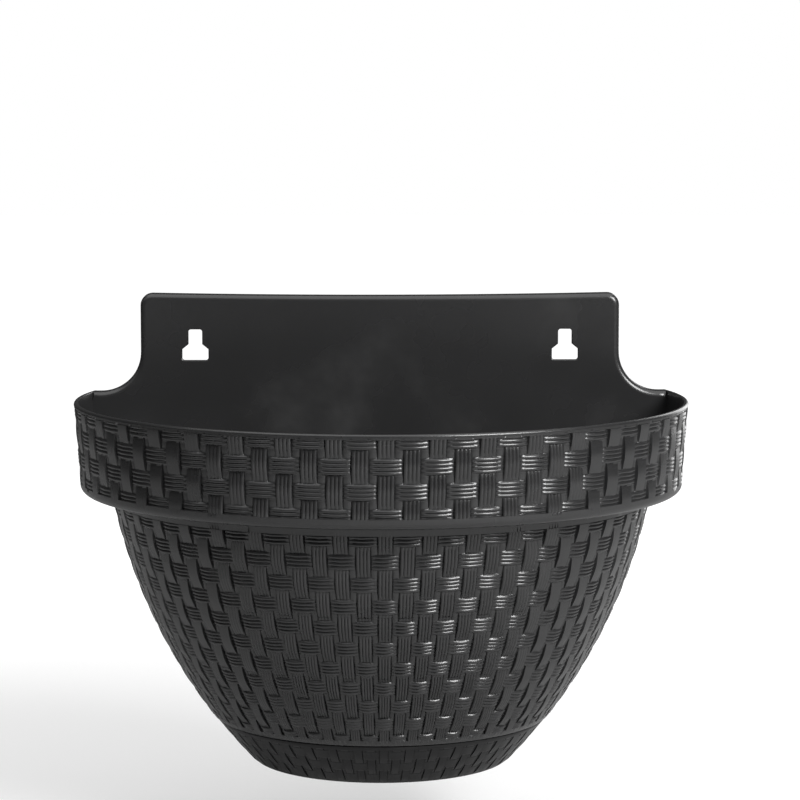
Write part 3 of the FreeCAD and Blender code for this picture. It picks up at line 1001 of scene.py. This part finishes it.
class PLANTER_OT_tray(bpy.types.Operator):
    """Makes the drip tray with its shallow weave, flat back, foot rim and three pegs"""

    bl_idname = "planter.make_tray"
    bl_label = "Drip tray"

    def execute(self, context):
        weave = context.scene.planter_weave
        finish = context.scene.planter_finish
        columns = column_places(weave, TRAY_REACH, NO_RODS, full=True)
        heel = arc_points(BASE_HEIGHT, TRAY_INSET)[0]
        foot = heel[0] - FOOT_WIDTH
        rows = Rows()
        hollow = BASE_HEIGHT + FOOT_DEPTH
        rows.add([[0, hollow], [foot, hollow], [foot, BASE_HEIGHT]], cut=FOOT_WIDTH)
        rows.add([heel[0] - HEEL_FLAT, BASE_HEIGHT])
        centre = (heel[0] - HEEL_INSET, BASE_HEIGHT + HEEL_ROUND)
        rows.add(bend(centre, HEEL_ROUND, -88, -45, 5))
        start, end = arc_length(TRAY_WEAVE_START), arc_length(TRAY_WEAVE_END)
        pitch = weave.tray_pitch / MM
        down, places = weave_rows(weave, start, end, start + pitch / 2, pitch)
        rows.add(arc_points(height_at(down[::-1]), TRAY_INSET), places=places[::-1])
        lip = arc_points([TRAY_WEAVE_START + STRIP, TRAY_TOP - SEAM_GAP], TRAY_INSET)
        rows.add(lip, depth=TRAY_LIP_DEPTH)
        rows.add(arc_points(TRAY_TOP, TRAY_INSET) - (SEAM_GAP, 0))
        rows.add(fit_points(TRAY_TOP, TRAY_INNER_INSET), cut=TRAY_WALL)
        across, rise = TRAY_CORNER
        rows.add(fit_points(TRAY_FLOOR_TOP + rise, TRAY_INNER_INSET), cut=TRAY_WALL)
        rows.add(fit_points(TRAY_FLOOR_TOP, TRAY_INNER_INSET) - (across, 0), cut=TRAY_WALL)
        rows.add([0, TRAY_FLOOR_TOP], cut=TRAY_WALL)
        relief = relief_function(
            weave, weave.tray_depth, rods=False, level_share=TRAY_LEVEL_SHARE)
        parts = [dish(rows, columns, relief)]
        root, shoulder = TRAY_FLOOR_TOP - LAP, PEG_TOP - PEG_CHAMFER
        section = [[0, root], [PEG_RADIUS, root], [PEG_RADIUS, shoulder],
                   [PEG_RADIUS - PEG_CHAMFER, PEG_TOP], [0, PEG_TOP]]
        parts += [lathe(section, centre) for centre in ring_places(SOCKET_RING, 3, -90.0)]
        # The tray's colour carries painted shade: it is a darker copy of the pot's plastic.
        material = plastic("Tray plastic", finish.tray_colour_with_painted_shade,
                           finish.roughness + TRAY_ROUGHER, finish.dust, TRAY_SPECULAR)
        new_piece("drip_tray_moulding", parts, material, "tray", "drip_tray")
        return {"FINISHED"}


def make_pot_piece(context, name, parts):
    """One visible part of the pot's moulding, in the pot's plastic."""
    finish = context.scene.planter_finish
    material = plastic(
        "Pot plastic", finish.pot_colour, finish.roughness, finish.dust, POT_SPECULAR)
    new_piece(name, parts, material, "pot", "planter_pot")


def stage_material(name, grey, glow, reach):
    """Pale matt surface that glows to the camera alone, from near the object to far from it.

    From behind it is clear, so that the object can be looked at from underneath.
    """
    material = bpy.data.materials.new(name)
    material.use_nodes = True
    tree = material.node_tree
    shader = tree.nodes["Principled BSDF"]
    shader.inputs["Base Color"].default_value = (grey, grey, grey, 1)
    shader.inputs["Roughness"].default_value = 0.9
    shader.inputs["Specular IOR Level"].default_value = 0.0
    shader.inputs["Emission Color"].default_value = (1, 1, 1, 1)
    where = tree.nodes.new("ShaderNodeTexCoord")
    away = tree.nodes.new("ShaderNodeVectorMath")
    away.operation = "LENGTH"
    link(tree, where, "Object", away, 0)
    level = tree.nodes.new("ShaderNodeMapRange")
    level.interpolation_type = "SMOOTHSTEP"
    level.inputs["From Min"].default_value, level.inputs["From Max"].default_value = reach
    level.inputs["To Min"].default_value, level.inputs["To Max"].default_value = glow
    link(tree, away, "Value", level, "Value")
    path = tree.nodes.new("ShaderNodeLightPath")
    scale = tree.nodes.new("ShaderNodeMath")
    scale.operation = "MULTIPLY"
    link(tree, path, "Is Camera Ray", scale, 0)
    link(tree, level, "Result", scale, 1)
    link(tree, scale, "Value", shader, "Emission Strength")
    side = tree.nodes.new("ShaderNodeNewGeometry")
    clear = tree.nodes.new("ShaderNodeBsdfTransparent")
    choice = tree.nodes.new("ShaderNodeMixShader")
    link(tree, side, "Backfacing", choice, 0)
    link(tree, shader, "BSDF", choice, 1)
    link(tree, clear, "BSDF", choice, 2)
    link(tree, choice, "Shader", tree.nodes["Material Output"], "Surface")
    return material


def direction(azimuth, elevation):
    """Unit vector towards an azimuth, turned right from the front, and an elevation in degrees."""
    a, e = math.radians(azimuth), math.radians(elevation)
    return Vector((math.sin(a) * math.cos(e), -math.cos(a) * math.cos(e), math.sin(e)))


def area_light(name, azimuth, elevation, distance, width, height, power, target):
    """Soft rectangular lamp that faces a point from an azimuth and an elevation in degrees."""
    back = direction(azimuth, elevation)
    lamp = bpy.data.lights.new(name, "AREA")
    lamp.shape = "RECTANGLE"
    lamp.size = width
    lamp.size_y = height
    lamp.energy = power
    holder = bpy.data.objects.new(name, lamp)
    holder.location = target + back * distance
    holder.rotation_euler = (-back).to_track_quat("-Z", "Y").to_euler()
    holder.visible_camera = False
    bpy.context.scene.collection.objects.link(holder)


class PLANTER_OT_stage(bpy.types.Operator):
    """Sets up the floor, the white surround, the soft lamps and the camera"""

    bl_idname = "planter.make_stage"
    bl_label = "Stage"

    def execute(self, context):
        scene = context.scene
        stage = scene.planter_stage
        scene.view_settings.view_transform = "Standard"
        target = Vector(stage.target)

        floor = bpy.data.meshes.new("floor")
        size, z = FLOOR_SIZE, TRAY_LOW.z - FLOOR_GAP
        corners = [(-size, -size, z), (size, -size, z), (size, size, z), (-size, size, z)]
        floor.from_pydata(corners, [], [(0, 1, 2, 3)])
        sheet = bpy.data.objects.new("floor", floor)
        scene.collection.objects.link(sheet)
        floor.materials.append(
            stage_material("Pale floor", FLOOR_GREY, FLOOR_GLOW, GLOW_REACH))

        world = bpy.data.worlds.new("White surround")
        scene.world = world
        world.use_nodes = True
        tree = world.node_tree
        background = tree.nodes["Background"]
        background.inputs["Color"].default_value = (1, 1, 1, 1)
        path = tree.nodes.new("ShaderNodeLightPath")
        level = tree.nodes.new("ShaderNodeMapRange")
        level.inputs["To Min"].default_value = AMBIENT
        level.inputs["To Max"].default_value = 1.0
        link(tree, path, "Is Camera Ray", level, "Value")
        link(tree, level, "Result", background, "Strength")

        for lamp in LAMPS:
            area_light(*lamp, target)

        back = direction(stage.azimuth, stage.elevation)
        data = bpy.data.cameras.new("camera")
        data.lens = stage.lens
        data.sensor_width = 36.0
        data.clip_start = 0.05
        data.clip_end = 50.0
        camera = bpy.data.objects.new("camera", data)
        camera.location = target + back * stage.distance
        right = direction(stage.azimuth + 90.0, 0.0)
        up = back.cross(right)
        aim = right * stage.aim_right + up * stage.aim_up - back
        camera.rotation_euler = aim.to_track_quat("-Z", "Y").to_euler()
        scene.collection.objects.link(camera)
        scene.camera = camera
        return {"FINISHED"}


class PLANTER_PT_panel(bpy.types.Panel):
    """Lists the planter's sizes, its finish and the buttons that make its parts"""

    bl_label = "Wall planter"
    bl_idname = "PLANTER_PT_panel"
    bl_space_type = "VIEW_3D"
    bl_region_type = "UI"
    bl_category = "Planter"

    def draw(self, context):
        scene = context.scene
        for settings in (scene.planter_weave, scene.planter_finish, scene.planter_stage):
            box = self.layout.box()
            for name in settings.__annotations__:
                box.prop(settings, name)
        for operator in OPERATORS:
            self.layout.operator(operator.bl_idname)


SETTINGS = (WeaveSettings, FinishSettings, StageSettings)
OPERATORS = (PLANTER_OT_band, PLANTER_OT_body, PLANTER_OT_back, PLANTER_OT_floor, PLANTER_OT_tray,
             PLANTER_OT_stage)
CLASSES = SETTINGS + OPERATORS + (PLANTER_PT_panel,)


def register():
    """Registers the classes and hangs the settings on the scene."""
    for item in CLASSES:
        bpy.utils.register_class(item)
    bpy.types.Scene.planter_weave = PointerProperty(type=WeaveSettings)
    bpy.types.Scene.planter_finish = PointerProperty(type=FinishSettings)
    bpy.types.Scene.planter_stage = PointerProperty(type=StageSettings)


def unregister():
    """Takes the settings and the classes away again."""
    del bpy.types.Scene.planter_stage
    del bpy.types.Scene.planter_finish
    del bpy.types.Scene.planter_weave
    for item in reversed(CLASSES):
        bpy.utils.unregister_class(item)


def main():
    """Makes every part in order."""
    register()
    bpy.ops.planter.make_band()
    bpy.ops.planter.make_body()
    bpy.ops.planter.make_back()
    bpy.ops.planter.make_floor()
    bpy.ops.planter.make_tray()
    bpy.ops.planter.make_stage()


if __name__ == "__main__":
    main()
